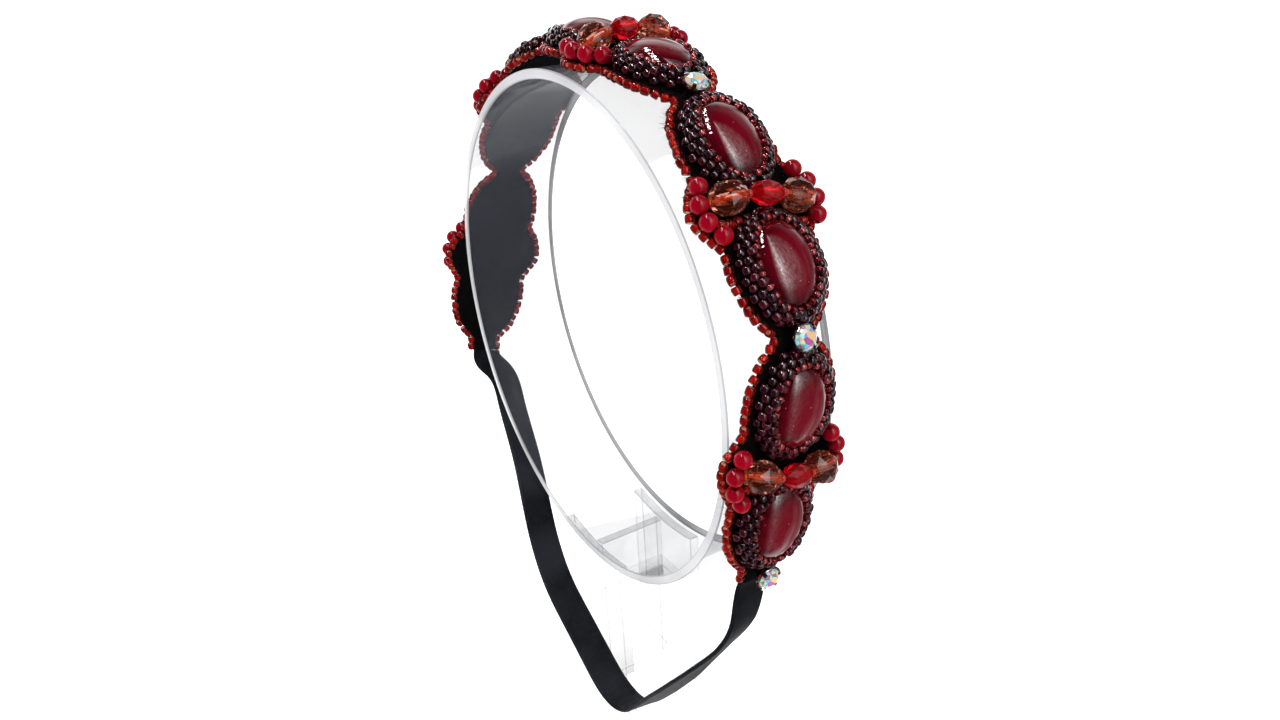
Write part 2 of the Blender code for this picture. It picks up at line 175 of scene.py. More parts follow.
# Rhinestones
STONE_RINGS = (
    # radius, height, count, twist
    (1.55, 4.62, 8, 0.0),
    (2.3, 4.2, 8, 0.5),
    (2.82, 3.55, 16, 0.0),
    (2.82, 3.3, 16, 0.0),
    (2.0, 2.6, 16, 0.0),
)
CUP_SECTION = (
    # height, radius: up the outside and down the inside
    (0.0, 0.4),
    (0.0, 1.25),
    (0.9, 1.75),
    (2.6, 3.0),
    (3.3, 3.1),
    (3.42, 3.02),
    (3.3, 2.9),
    (2.5, 2.75),
    (1.2, 1.4),
)
CLAW_PATH = (
    # radius, height, half width
    (2.75, 1.9, 0.55),
    (3.1, 2.9, 0.55),
    (3.2, 3.6, 0.5),
    (3.0, 4.1, 0.45),
    (2.55, 4.4, 0.38),
    (2.2, 4.55, 0.22),
)
CLAW_WALL = 0.17
CUP_SIDES = 32

# Strap
STRAP_WIDTH = 9.3
STRAP_WALL = 1.2
STRAP_STEPS = 420
STRAP_SIDES = 19
WEAVE_PITCH = (0.55, 0.62)
STRAP_GAP = 0.05
STRAP_SHIFT = 1.0
STRAP_LEAD = 2.0
STRAP_ROUTE = (
    # x, y, height over the ring's centre, roll
    (-66.4, -10.6, -37.0, 0),
    (-58.9, -10.4, -45.8, 0),
    (-46.9, -12.6, -59.3, 0),
    (-33.4, -16.6, -69.5, 0),
    (-22.4, -19.6, -79.0, 0),
    (-12.3, -21.1, -86.7, 0),
    (1.6, -22.2, -92.4, 0),
    (14.2, -22.7, -98.2, 0),
    (23.2, -22.7, -102.0, 0),
    (31.3, -22.4, -101.6, -4),
    (39.9, -21.9, -94.6, -8),
    (47.4, -21.1, -85.6, -10),
    (54.9, -19.3, -76.1, -6),
    (60.9, -17.1, -67.6, 4),
    (65.3, -14.0, -60.6, 12),
    (68.2, -10.3, -52.5, 12),
)

# Camera, fitted to the photograph
FOCAL_PIXELS = 1015.7
FRAME_WIDTH = 1280
CAMERA_PLACE = (223.95, -127.13, 241.3)
CAMERA_DIP = 0.44578
CAMERA_YAW = 1.03528
CAMERA_ROLL = -0.05689

# Light tent, seen in reflections alone
TENT_AMBIENT = (
    # facing the camera's side, from 0 at the far side, and brightness
    (0.0, 1.5),
    (0.2, 1.1),
    (0.38, 0.2),
    (0.56, 0.02),
    (1.0, 0.01),
)
TENT_WALL_RADIANCE = 4.6
TENT_WALL = (
    # share of a turn, 0.5 at +X and 0.75 at +Y, and brightness
    (0.44, 0.0),
    (0.467, 0.3),
    (0.492, 1.0),
    (0.505, 0.95),
    (0.53, 0.5),
    (0.565, 0.2),
    (0.64, 0.1),
    (0.675, 0.0),
)
TENT_HEIGHTS = (
    # from 0 straight down to 1 straight up, and brightness
    (0.0, 0.05),
    (0.25, 0.08),
    (0.5, 0.15),
    (0.7, 0.75),
    (0.85, 1.0),
    (1.0, 0.5),
)
STRIPS_PLACE = (-0.3, 0.2)
STRIPS_HALF = (0.09, 0.6)
STRIPS_COUNT = 5
STRIPS_RADIANCE = 65.0
STRIPS_WAVE = 0.22
FILL = 0.2
THROUGH_GLASS = 0.25

# Lights and floor, in metres
CEILING_ENERGY = 2.9
CEILING_SPREAD = 110.0
CEILING_AIM = (0.25, 0.1, -1.0)
WALLS = (
    # name, place, size, radiance
    ("right_wall", (0.62, 0.34, 0.5), (0.6, 1.0), 1.5),
    ("left_wall", (-0.35, -0.75, 0.5), (0.5, 0.9), 1.2),
)
FLOOR_REACH = 12.0
FLOOR_DROP = 0.0002


def unit(vectors):
    return vectors / np.linalg.norm(vectors, axis=-1, keepdims=True)


def natural_spline(knots, values):
    """Cubic curve through the values, with no bend at its two ends."""
    x = np.asarray(knots, float)
    y = np.asarray(values, float)
    h = np.diff(x)
    count = len(x)
    system = np.eye(count)
    right = np.zeros(count)
    for i in range(1, count - 1):
        system[i, i - 1:i + 2] = h[i - 1], 2 * (h[i - 1] + h[i]), h[i]
        right[i] = 6 * ((y[i + 1] - y[i]) / h[i] - (y[i] - y[i - 1]) / h[i - 1])
    bend = np.linalg.solve(system, right)

    def value(at):
        at = np.asarray(at, float)
        i = np.clip(np.searchsorted(x, at) - 1, 0, count - 2)
        a = (x[i + 1] - at) / h[i]
        b = (at - x[i]) / h[i]
        curve = (a ** 3 - a) * bend[i] + (b ** 3 - b) * bend[i + 1]
        return a * y[i] + b * y[i + 1] + curve * h[i] ** 2 / 6

    return value


def lengths_along(points):
    steps = np.linalg.norm(np.diff(points, axis=0), axis=1)
    return np.concatenate([[0.0], np.cumsum(steps)])


class Band:
    """Places points by distance along, across and above the backing."""

    LEAD = 6.0
    SAMPLES = 1200

    def __init__(self):
        angles, radii, sides = np.array(BAND_STATIONS).T
        travel = angles[0] - angles
        sweep = np.linspace(-self.LEAD, travel[-1] + self.LEAD, self.SAMPLES + 1)
        turn = np.radians(angles[0] - sweep)
        radius = natural_spline(travel, radii)(sweep)
        side = natural_spline(travel, sides)(sweep)
        height = RING_CENTRE_Z + radius * np.sin(turn)
        self.points = np.stack([radius * np.cos(turn), side, height], 1)
        self.lengths = lengths_along(self.points)
        self.first = float(np.interp(0.0, sweep, self.lengths))
        self.last = float(np.interp(travel[-1], sweep, self.lengths))
        self.module = (self.last - self.first) / MODULES

    def neck(self, number):
        return self.first + number * self.module

    def bar(self, number):
        return self.neck(number + 0.5)

    def bar_matrix(self, number):
        """Frame of a bar of beads, as it was sewn on."""
        along, turn = BAR_POSES[number]
        return self.matrix(self.bar(number) + along) @ Matrix.Rotation(math.radians(turn), 4, "Z")

    def cabochon(self, number):
        side = 1 if number % 2 else -1
        return self.bar(number // 2) + side * CABOCHON_OFFSET

    def at(self, s):
        return np.stack([np.interp(s, self.lengths, axis) for axis in self.points.T], -1)

    def directions(self, s):
        """Directions along the band, across it to the far side, and outward."""
        s = np.asarray(s, float)
        along = unit(self.at(s + 0.5) - self.at(s - 0.5))
        outward = unit(np.cross(along, (0, 1, 0)))
        return along, np.cross(outward, along), outward

    def place(self, s, across, above):
        _, sideways, outward = self.directions(s)
        across = np.asarray(across, float)[..., None]
        above = np.asarray(above, float)[..., None]
        return self.at(s) + sideways * across + outward * above

    def matrix(self, s, above=0.0):
        """Frame in metres: X along the band, Y across it and Z outward."""
        turn = Matrix([list(axis) for axis in self.directions(s)]).transposed()
        return Matrix.Translation(Vector(self.place(s, 0.0, above)) * MM) @ turn.to_4x4()

    def outline(self, s):
        """Half the width at s, where the lobes run smoothly into each other."""
        s = np.clip(s, self.first, self.last)
        local = (s - self.first) % self.module - self.module / 2
        total = np.zeros_like(local)
        for offset in (-self.module, 0.0, self.module):
            for centre, length, width in OUTLINE_LOBES:
                inside = np.clip(1 - ((local - centre - offset) / length) ** 2, 0, None)
                total += np.where(inside > 0, np.exp(width * np.sqrt(inside) / OUTLINE_BLEND), 0)
        return OUTLINE_BLEND * np.log(total)

    def half_width(self, s, inset):
        """Half the width of the outline drawn in evenly by inset."""
        shifts = np.linspace(-inset, inset, 13)
        widths = [self.outline(s + d) - math.sqrt(inset ** 2 - d ** 2) for d in shifts]
        return np.min(widths, axis=0)


BAND = Band()


def lathe(rings, sides):
    """Closed turned shape about X. A ring is (x, radius, twist in sides)."""
    points = []
    for x, radius, twist in rings:
        turn = math.tau * (np.arange(sides) + twist) / sides
        ring = [np.full(sides, float(x)), radius * np.cos(turn), radius * np.sin(turn)]
        points.append(np.stack(ring, 1))
    faces = []
    count = len(rings)
    for j in range(count):
        a, b = j * sides, (j + 1) % count * sides
        twist = rings[(j + 1) % count][2] - rings[j][2]
        for k in range(sides):
            n = (k + 1) % sides
            if twist == 0:
                faces.append((a + k, a + n, b + n, b + k))
            elif twist > 0:
                faces += [(a + k, a + n, b + k), (b + k, a + n, b + n)]
            else:
                faces += [(a + k, b + n, b + k), (a + k, a + n, b + n)]
    return np.concatenate(points), faces


def skin(count, sides):
    """Faces of a tube of that many sections, closed at its two ends."""
    faces = []
    for j in range(count - 1):
        a, b = j * sides, (j + 1) * sides
        for k in range(sides):
            n = (k + 1) % sides
            faces.append((a + k, a + n, b + n, b + k))
    faces.append(tuple(range(sides)))
    faces.append(tuple((count - 1) * sides + k for k in reversed(range(sides))))
    return faces


def seed_bead(radius, hole, length, sides=16, steps=8):
    """Rounded ring whose section is a squarish oval."""
    def squared(value):
        return math.copysign(abs(value) ** SEED_SQUARE, value)

    middle, half = (radius + hole) / 2, (radius - hole) / 2
    rings = []
    for k in range(steps):
        turn = math.tau * (k + 0.5) / steps
        x = squared(math.cos(turn)) * length / 2
        rings.append((x, middle + squared(math.sin(turn)) * half, 0))
    return lathe(rings, sides)


def round_bead(radius, hole, sides=28, steps=16):
    """Sphere with a straight hole through it, its mouths rounded over."""
    lip = math.asin((hole * 1.35) / radius)
    rings = [(-radius * 0.9, hole, 0)]
    for k in range(steps + 1):
        turn = lip + (math.pi - 2 * lip) * k / steps
        rings.append((-radius * math.cos(turn), radius * math.sin(turn), 0))
    rings.append((radius * 0.9, hole, 0))
    return lathe(rings, sides)


def cut_bead(length, radius, hole, sides=8):
    """Fire-polished bead: three belts of triangular facets and a hole."""
    half = length / 2
    belts = [(half * x, radius * r, twist) for x, r, twist in CUT_BELTS]
    return lathe([(-half, hole, 0.0), *belts, (half, hole, 0.0)], sides)


def along_axis(places, axes):
    """4x4 matrices, in millimetres, whose X is each given axis."""
    x = unit(np.asarray(axes, float))
    guide = np.where(np.abs(x[:, 2:3]) < 0.9, [[0, 0, 1]], [[0, 1, 0]])
    y = unit(np.cross(guide, x))
    out = np.zeros((len(x), 4, 4))
    out[:, :3] = np.stack([x, y, np.cross(x, y), places], 2)
    out[:, 3, 3] = 1
    return out


def shaken(axes, amount):
    return unit(unit(axes) + RNG.normal(0, amount, axes.shape))


def stamp(template, matrices, sizes=None):
    """One set of points and faces from a template copied to each matrix."""
    points, faces = template
    sizes = np.ones(len(matrices)) if sizes is None else sizes
    turned = np.einsum("mij,nj->mni", matrices[:, :3, :3], points) * sizes[:, None, None]
    placed = (turned + matrices[:, None, :3, 3]).reshape(-1, 3)
    count = len(points)
    copied = [tuple(i + k * count for i in face) for k in range(len(matrices)) for face in faces]
    return placed, copied


def set_tones(mesh, tones):
    layer = mesh.attributes.new("tone", "FLOAT", "POINT")
    layer.data.foreach_set("value", np.asarray(tones, np.float32))


def new_mesh(name, points, faces, smooth=True):
    mesh = bpy.data.meshes.new(name)
    mesh.from_pydata((np.asarray(points) * MM).tolist(), [], faces)
    mesh.validate()
    bm = bmesh.new()
    bm.from_mesh(mesh)
    bmesh.ops.recalc_face_normals(bm, faces=bm.faces)
    bm.to_mesh(mesh)
    bm.free()
    if smooth:
        mesh.shade_smooth()
    else:
        mesh.shade_flat()
    return mesh


def new_object(name, data):
    made = bpy.data.objects.new(name, data)
    bpy.context.scene.collection.objects.link(made)
    return made


def add_piece(name, mesh, look, replaces=(), matrix=None):
    piece = new_object(name, mesh)
    if matrix is not None:
        piece.matrix_world = matrix
    if not mesh.materials:
        mesh.materials.append(look.material)
    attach(piece, "root")
    if replaces:
        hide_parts(*replaces)
    return piece


def add_beads(name, template, matrices, look, replaces=(), uneven=0.04):
    """A joined mesh of beads of slightly uneven size, each with its own tone."""
    sizes = 1 + RNG.normal(0, uneven, len(matrices)).clip(-2 * uneven, 2 * uneven)
    mesh = new_mesh(name, *stamp(template, matrices, sizes))
    set_tones(mesh, np.repeat(RNG.random(len(matrices)), len(template[0])))
    add_piece(name, mesh, look, replaces)


# Materials

class Nodes:
    """Builds a tree of shader nodes."""

    def __init__(self, tree, space="Object"):
        self.tree = tree
        self.space = space

    def feed(self, node, key, value):
        """Links or sets an input, by its name or as i and its number."""
        socket = node.inputs[int(key[1:]) if key[1:].isdigit() else key.replace("_", " ")]
        if isinstance(value, bpy.types.NodeSocket):
            self.tree.links.new(value, socket)
        elif isinstance(value, tuple) and len(socket.default_value) == 4:
            socket.default_value = (*value, 1.0)
        else:
            socket.default_value = value

    def add(self, kind, **inputs):
        node = self.tree.nodes.new("ShaderNode" + kind)
        for key, value in inputs.items():
            self.feed(node, key, value)
        return node

    def math(self, operation, *values):
        node = self.add("Math", **{f"i{k}": value for k, value in enumerate(values)})
        node.operation = operation
        return node.outputs[0]

    def times(self, a, b):
        return self.math("MULTIPLY", a, b)

    def scaled(self, value, factor, shift):
        return self.math("MULTIPLY_ADD", value, factor, shift)

    def coordinates(self):
        return self.add("TexCoord").outputs[self.space]

    def axes(self, vector=None):
        return self.add("SeparateXYZ", Vector=vector or self.coordinates()).outputs

    def attribute(self, name):
        node = self.add("Attribute")
        node.attribute_name = name
        return node.outputs["Fac"]

    def noise(self, scale, detail=3.0, roughness=0.5, vector=None):
        place = vector or self.coordinates()
        node = self.add("TexNoise", Vector=place, Scale=scale, Detail=detail, Roughness=roughness)
        return node.outputs["Fac"]

    def ramp(self, factor, *stops):
        """Ramp whose stops are a place and a colour or grey."""
        node = self.add("ValToRGB", i0=factor)
        elements = node.color_ramp.elements
        while len(elements) < len(stops):
            elements.new(0.5)
        for element, (place, shade) in zip(elements, stops):
            element.position = place
            element.color = (*(shade if isinstance(shade, tuple) else [shade] * 3), 1.0)
        return node.outputs[0]

    def mix(self, factor, a, b):
        node = self.add("Mix")
        node.data_type = "RGBA"
        for key, value in (("i0", factor), ("i6", a), ("i7", b)):
            self.feed(node, key, value)
        return node.outputs[2]

    def clouded(self, cloud, share, colour, tint):
        """The colour, turned to the tint by up to that share in the cloud."""
        return self.mix(self.times(cloud, share), colour, tint)


class Look(Nodes):
    """A node material with a Principled shader."""

    def __init__(self, name, **settings):
        self.material = bpy.data.materials.new(name)
        self.material.use_nodes = True
        super().__init__(self.material.node_tree)
        self.shader = self.tree.nodes["Principled BSDF"]
        self.set(**settings)

    def set(self, **settings):
        for key, value in settings.items():
            self.feed(self.shader, key, value)

    def bump(self, height, strength, distance):
        node = self.add("Bump", Height=height, Strength=strength, Distance=distance * MM)
        self.set(Normal=node.outputs[0])


def veil_look(name, veil, grazing, dark, pale):
    """Clear acrylic, as a thin pale veil that thickens at a glancing view."""
    look = Look(name, Roughness=0.06, Specular_IOR_Level=0.5, IOR=1.49)
    fresnel = look.add("Fresnel", IOR=1.3).outputs[0]
    tint = look.ramp(look.noise(40.0, 2.0), (0.3, dark), (0.7, pale))
    look.bump(look.noise(120.0, 2.0), 0.05, 0.3)
    return look, look.scaled(fresnel, grazing, veil), tint


def ring_radius(look, axes):
    """Distance from the ring's axis, in metres."""
    height = look.math("SUBTRACT", axes[2], RING_CENTRE_Z * MM)
    square = look.scaled(axes[0], axes[0], look.times(height, height))
    return look.math("SQRT", square)


def acrylic_look():
    """The pedestal's acrylic, frosted where the ring was bonded to it, with painted grey shade on
    its eased edges.
    """
    look, alpha, tint = veil_look("clear_acrylic", 0.025, 0.1, (0.4, 0.4, 0.42), (0.5, 0.5, 0.52))
    reach = (RING_OUTER_R + GAP + FROST_DEPTH) * MM
    seat = look.math("LESS_THAN", ring_radius(look, look.axes()), reach)
    speckle = look.scaled(look.noise(500.0), 0.25, 0.2)
    # The eased edges are painted grey and made more opaque: painted shade.
    edge = look.attribute("edge")
    frosted = look.scaled(seat, speckle, alpha)
    look.set(
        Alpha=look.scaled(edge, 0.3, frosted),
        Base_Color=look.mix(edge, tint, (0.3, 0.31, 0.32)),
    )
    return look


def ring_look():
    """The ring's acrylic: its polished end faces are painted pale and given a painted glow, with
    painted grey shade at their edges.
    """
    dark, pale = (0.085, 0.09, 0.11), (0.115, 0.12, 0.14)
    look, alpha, tint = veil_look("clear_acrylic_ring", 0.19, 0.2, dark, pale)
    axes = look.axes()
    across = look.math("ABSOLUTE", axes[1])
    middle = (RING_OUTER_R - RING_WALL / 2) * MM
    off = look.math("ABSOLUTE", look.math("SUBTRACT", ring_radius(look, axes), middle))
    end_face = look.math("GREATER_THAN", across, (RING_WIDTH / 2 - RING_EDGE) * MM)
    border = look.math("GREATER_THAN", off, (RING_WALL / 2 - RING_LINE) * MM)
    line = look.times(end_face, border)
    # The end faces are painted pale and made more opaque, and the lines at their rounded rims get
    # painted grey shade.
    face = look.mix(end_face, tint, (0.4, 0.4, 0.42))
    # Patches of painted glow on the end faces, dimmer on the painted grey lines.
    cloud = look.scaled(look.noise(28.0, 1.0), 0.9, -0.22)
    glow = look.scaled(line, -0.15, cloud)
    look.set(
        Base_Color=look.mix(line, face, (0.3, 0.3, 0.32)),
        Alpha=look.scaled(end_face, 0.66, alpha),
        Emission_Color=(1.0, 1.0, 1.0),
        Emission_Strength=look.times(end_face, glow),
    )
    return look


def felt_look():
    look = Look("black_felt", Roughness=1.0, Specular_IOR_Level=0.1)
    fibres = look.noise(2600.0, 6.0, 0.7)
    patches = look.noise(260.0, 2.0)
    dark = look.mix(patches, (0.0006, 0.0005, 0.0006), (0.0018, 0.0015, 0.0018))
    look.set(Base_Color=look.mix(fibres, dark, (0.0035, 0.003, 0.0033)))
    look.bump(look.math("ADD", fibres, patches), 0.6, 0.25)
    return look


def mottled_look(name, grain, *stops, bump=None, **settings):
    """A look whose colour, and bump, follow one noise."""
    look = Look(name, **settings)
    cloud = look.noise(*grain)
    look.set(Base_Color=look.ramp(cloud, *stops))
    if bump:
        look.bump(cloud, *bump)
    return look


def toned_look(name, grain, share, tint, *stops, **settings):
    """A look whose colour is its bead's own, clouded with a tint."""
    look = Look(name, **settings)
    colour = look.ramp(look.attribute("tone"), *stops)
    look.set(Base_Color=look.clouded(look.noise(*grain), share, colour, tint))
    return look


def garnet_look():
    return toned_look(
        "garnet_beads", (1500.0, 3.0), 1.0, (0.015, 0.002, 0.006),
        (0.0, (0.010, 0.0006, 0.002)),
        (0.45, (0.024, 0.001, 0.004)),
        (0.8, (0.055, 0.002, 0.007)),
        (1.0, (0.1, 0.004, 0.012)),
        Roughness=0.03, IOR=1.9,
    )


def rose_look():
    return toned_look(
        "rose_beads", (1800.0, 2.0), 0.5, (0.1, 0.005, 0.008),
        (0.0, (0.14, 0.008, 0.012)),
        (0.5, (0.36, 0.03, 0.04)),
        (1.0, (0.8, 0.18, 0.18)),
        Roughness=0.1, Metallic=0.75, Coat_Weight=0.3, Coat_Roughness=0.03,
    )


def orange_glass_look():
    return toned_look(
        "orange_red_glass", (900.0, 2.0), 0.35, (0.4, 0.005, 0.005),
        (0.0, (0.45, 0.006, 0.008)),
        (0.5, (0.66, 0.015, 0.013)),
        (1.0, (0.88, 0.045, 0.025)),
        Roughness=0.03, IOR=1.5, Transmission_Weight=0.9,
    )


def lining_look():
    return mottled_look(
        "silver_lining", (2400.0, 4.0, 0.7), (0.3, (0.75, 0.2, 0.1)), (0.7, (1.0, 0.55, 0.35)),
        bump=(0.5, 0.08), Roughness=0.3, Metallic=0.8,
        # Emission gives the lining a painted orange glow.
        Emission_Color=(1.0, 0.13, 0.07), Emission_Strength=0.13,
    )


def cabochon_look():
    """Glass painted with a glow in its middle and painted shade toward its rim, clouded and with
    pale flecks.
    """
    look = Look(
        "crimson_cabochon", Roughness=0.4, Specular_IOR_Level=0.0,
        Coat_Weight=1.0, Coat_Roughness=0.015, Coat_IOR=1.85,
    )
    place = look.coordinates()
    axes = look.axes(place)
    x, y = (look.times(axes[k], 1 / (CABOCHON_HALF[k] * MM)) for k in range(2))
    out = look.math("ADD", look.times(x, x), look.times(y, y))
    swirl = look.math("SUBTRACT", look.noise(170.0, 3.0, 0.6, place), 0.5)
    # A painted glow in the middle, fading to painted shade at the rim.
    painted_glow_and_rim_shade = look.ramp(
        look.math("ADD", out, look.times(swirl, 0.5)),
        (0.0, (0.13, 0.001, 0.008)),
        (0.35, (0.11, 0.001, 0.007)),
        (0.7, (0.06, 0.0007, 0.004)),
        (1.0, (0.022, 0.0004, 0.0016)),
    )
    flecks = look.add("TexVoronoi", Vector=place, Scale=900.0)
    dots = look.ramp(flecks.outputs["Distance"], (0.10, 1.0), (0.2, 0.0))
    chosen = look.ramp(flecks.outputs["Color"], (0.62, 0.0), (0.68, 1.0))
    marks = look.times(dots, chosen)
    look.set(Base_Color=look.clouded(marks, 0.6, painted_glow_and_rim_shade, (0.45, 0.1, 0.14)))
    look.bump(look.noise(330.0, 3.0, 0.6, place), 0.12, 0.12)
    return look


def coral_look():
    look = toned_look(
        "coral_red", (420.0, 4.0, 0.6), 1.0, (0.25, 0.0012, 0.009),
        (0.0, (0.2, 0.001, 0.007)),
        (1.0, (0.3, 0.0018, 0.012)),
        Roughness=0.3, Specular_IOR_Level=0.0, Coat_Weight=0.8, Coat_Roughness=0.02,
    )
    look.bump(look.noise(900.0, 2.0), 0.04, 0.1)
    return look


def topaz_look():
    return mottled_look(
        "smoky_topaz_glass", (160.0, 2.0), (0.35, (0.64, 0.29, 0.21)), (0.65, (0.46, 0.18, 0.13)),
        Roughness=0.0, IOR=1.66, Transmission_Weight=1.0,
        # Emission gives the glass a faint painted orange glow.
        Emission_Color=(1.0, 0.16, 0.06), Emission_Strength=0.012,
    )


def red_glass_look():
    return mottled_look(
        "red_glass", (200.0, 2.0), (0.35, (0.75, 0.004, 0.012)), (0.65, (0.9, 0.01, 0.025)),
        Roughness=0.0, IOR=1.54, Transmission_Weight=0.85,
    )


def bore_look():
    return mottled_look(
        "orange_lining", (700.0, 4.0, 0.6),
        (0.3, (0.8, 0.07, 0.003)),
        (0.5, (0.95, 0.14, 0.006)),
        (0.7, (1.0, 0.2, 0.01)),
        bump=(0.2, 0.08), Roughness=0.45, Specular_IOR_Level=0.2,
        # Emission gives the lining a painted orange glow.
        Emission_Color=(1.0, 0.15, 0.008), Emission_Strength=0.33,
    )


def spacer_look():
    return mottled_look(
        "pink_red_glass", (900.0, 2.0), (0.3, (0.3, 0.012, 0.014)), (0.7, (0.4, 0.03, 0.03)),
        Roughness=0.12, Coat_Weight=0.8, Coat_Roughness=0.03,
    )


def stone_look():
    """Each facet, and each cell inside it, is painted with one colour of the stone's sparkle,
    which also glows by emission.
    """
    look = Look(
        "crystal_painted_sparkle", Roughness=0.08, Metallic=0.3,
        Coat_Weight=1.0, Coat_Roughness=0.0, Coat_IOR=1.6,
    )
    inner = look.add("TexVoronoi", Vector=look.coordinates(), Scale=430.0)
    cells = look.add("SeparateColor", Color=inner.outputs["Color"]).outputs[0]
    colour = look.ramp(
        look.math("FRACT", look.math("ADD", look.attribute("tone"), cells)),
        (0.0, (0.55, 0.62, 0.6)),
        (0.2, (0.05, 0.6, 0.78)),
        (0.38, (0.72, 0.75, 0.35)),
        (0.52, (0.42, 0.02, 0.24)),
        (0.66, (0.16, 0.18, 0.2)),
        (0.8, (0.85, 0.5, 0.2)),
        (0.93, (0.25, 0.25, 0.7)),
    )
    colour.node.color_ramp.interpolation = "CONSTANT"
    # Fixed dark, pale and coloured facets paint the stone's sparkle, and emission makes it glow.
    painted_sparkle = look.clouded(look.noise(600.0, 2.0), 0.2, colour, (0.8, 0.82, 0.84))
    look.set(Base_Color=painted_sparkle, Emission_Color=painted_sparkle, Emission_Strength=0.15)
    return look


def silver_look():
    return mottled_look(
        "silver_setting", (1200.0, 4.0), (0.3, (0.55, 0.52, 0.47)), (0.7, (0.8, 0.78, 0.72)),
        bump=(0.15, 0.05), Metallic=1.0, Roughness=0.18,
    )


def ribbon_look():
    look = Look("black_satin_elastic", Specular_IOR_Level=0.13, Specular_Tint=(0.75, 0.82, 1.0))
    axes = look.axes(look.add("TexCoord").outputs["UV"])
    waves = [
        look.math("SINE", look.times(axes[k], math.tau / pitch))
        for k, pitch in enumerate(WEAVE_PITCH)
    ]
    weave = look.times(*waves)
    cloth = look.noise(900.0)
    base = look.ramp(cloth, (0.3, (0.003, 0.003, 0.004)), (0.7, (0.008, 0.008, 0.010)))
    # Lighter patches in the colour are a painted satin sheen.
    painted_sheen = look.ramp(look.noise(38.0, 2.0), (0.45, 0.0), (0.7, 1.0))
    look.set(
        Base_Color=look.clouded(painted_sheen, 0.7, base, (0.026, 0.027, 0.034)),
        Roughness=look.scaled(cloth, 0.25, 0.42),
    )
    look.bump(look.math("ADD", look.times(weave, 0.5), cloth), 0.35, 0.12)
    return look


def floor_look():
    return mottled_look(
        "pale_floor", (3.0, 2.0), (0.3, 0.93), (0.7, 0.95), Roughness=0.8, Specular_IOR_Level=0.1,
        Emission_Color=(1.0, 1.0, 1.0), Emission_Strength=0.65,
    )


# Pieces of the headband

def band_places(step):
    """Places along the band and its two tabs, about a step apart."""
    count = int((BAND.last - BAND.first + 2 * END_TAB) / step)
    return np.linspace(BAND.first - END_TAB, BAND.last + END_TAB, count)


def edge_path(side, inset):
    """Points just inside the outline, the ways out of it and the ways along it."""
    s = band_places(0.25)
    points = BAND.place(s, side * BAND.half_width(s, inset), 0.0)
    travel = unit(np.gradient(points, axis=0))
    _, across, outward = BAND.directions(s)
    away = unit(np.cross(travel, outward))
    away = away * np.sign(np.sum(away * across * side, 1, keepdims=True))
    return points, away, travel


def along_bar(number, local, shake):
    """Matrices of beads at places in a bar's frame, each facing along the row."""
    bar = np.array(BAND.bar_matrix(number))
    places = local @ bar[:3, :3].T + bar[:3, 3] / MM
    return along_axis(places, shaken(np.gradient(places, axis=0), shake))


def add_edging(glass, lining):
    bead = seed_bead(*EDGING_BEAD)
    _, hole, length = EDGING_BEAD
    core = lathe([(x * length, r * hole, 0) for x, r in EDGING_CORE], 10)
    for word, side in SIDES:
        points, _, run = edge_path(side, EDGING_WIDTH / 2)
        travel = lengths_along(points)
        count = int(travel[-1] / EDGING_PITCH)
        wanted = (np.arange(count) + 0.5) * travel[-1] / count
        at = np.interp(wanted, travel, np.arange(len(points))) + RNG.uniform(-0.6, 0.6, count)
        at = np.clip(np.round(at).astype(int), 0, len(points) - 1)
        places = points[at] + RNG.normal(0, 0.07, (len(at), 3))
        matrices = along_axis(places, shaken(run[at], 0.2))
        node = (f"edging_{word}",)
        add_beads(f"edging_beads_{word}", bead, matrices, glass, node, 0.03)
        add_beads(f"edging_cores_{word}", core, matrices, lining, (), 0.0)


def add_bar_seeds(glass, lining):
    """A short row of seeds on the felt below each topaz bead."""
    bead = seed_bead(*EDGING_BEAD)
    radius, hole, length = EDGING_BEAD
    core = core_template(length * 0.92, hole)
    for number in range(MODULES):
        for word, side in SIDES:
            local = np.array([(x, side * y, SEAT + radius) for x, y in BAR_SEEDS])
            matrices = along_bar(number, local, 0.15)
            name = f"{number + 1}_{word}"
            add_beads(f"bar_seeds_{name}", bead, matrices, glass, (), 0.03)
            add_beads(f"bar_seed_cores_{name}", core, matrices, lining, (), 0.0)


def oval_places(centre, added, height, count, phase):
    """Even places round a cabochon, with the direction along the row."""
    turn = np.linspace(0, math.tau, 721)
    a, b = CABOCHON_HALF[0] + added, CABOCHON_HALF[1] + added
    oval = np.stack([a * np.cos(turn), b * np.sin(turn)], 1)
    travel = lengths_along(oval)
    wanted = (np.arange(count) + phase) / count * travel[-1]
    turn = np.interp(wanted, travel, turn)

    def at(turn):
        return BAND.place(centre + a * np.cos(turn), b * np.sin(turn), SEAT + height)

    return at(turn), unit(at(turn + OVAL_STEP) - at(turn))


def add_bezels(garnet, rose):
    def seed_row(centre, row, count, phase, spread, shake):
        points, axes = oval_places(centre, *row, count, phase)
        points = points + RNG.normal(0, spread, points.shape)
        return along_axis(points, shaken(axes, shake))

    dark = seed_bead(*GARNET_BEAD)
    pale = seed_bead(*ROSE_BEAD, sides=14)
    for number in range(2 * MODULES):
        centre = BAND.cabochon(number)
        label = f"{number + 1:02d}"
        rows = []
        for k, row in enumerate(BEZEL_ROWS):
            rows.append(seed_row(centre, row, BEZEL_COUNT, k / 2, 0.1, 0.18))
        node = (f"bezel_{label}",)
        rows = np.concatenate(rows)
        add_beads(f"bezel_beads_{label}", dark, rows, garnet, node)
        rim = seed_row(centre, BEZEL_RIM, RIM_COUNT, 0.0, 0.15, 0.2)
        add_beads(f"bezel_rim_{label}", pale, rim, rose)


